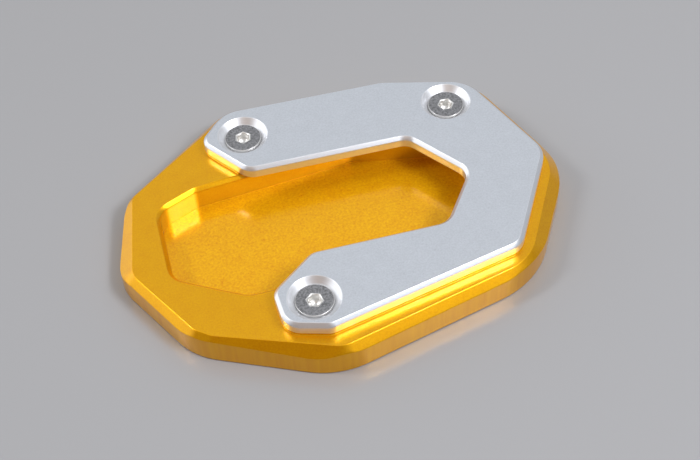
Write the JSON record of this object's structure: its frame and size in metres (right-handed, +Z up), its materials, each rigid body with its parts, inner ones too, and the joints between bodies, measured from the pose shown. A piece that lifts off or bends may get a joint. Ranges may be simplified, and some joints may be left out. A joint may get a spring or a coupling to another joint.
{
  "type": "kickstand foot enlarger",
  "caption": "Wide pocketed base plate with a C-shaped clamp plate screwed on top, which fastens round the foot of a motorbike side stand and spreads its load.",
  "frame": {"origin": "centre of the base plate's bounding box, on the underside that stands on the ground", "axes": "+Z up out of the ground, +X along the slot of the clamp plate towards its closed end, +Y across the plate"},
  "size_m": [0.1152, 0.0864, 0.0125],
  "materials": {
    "base": "gold anodised, satin",
    "clamp": "clear anodised, fine satin",
    "screws": "plain steel, dull top face and bright turned rim"
  },
  "bodies": {
    "root": {"base_plate": "base", "clamp_plate": "clamp", "clamp_screws": "screws"}
  },
  "joints": []
}
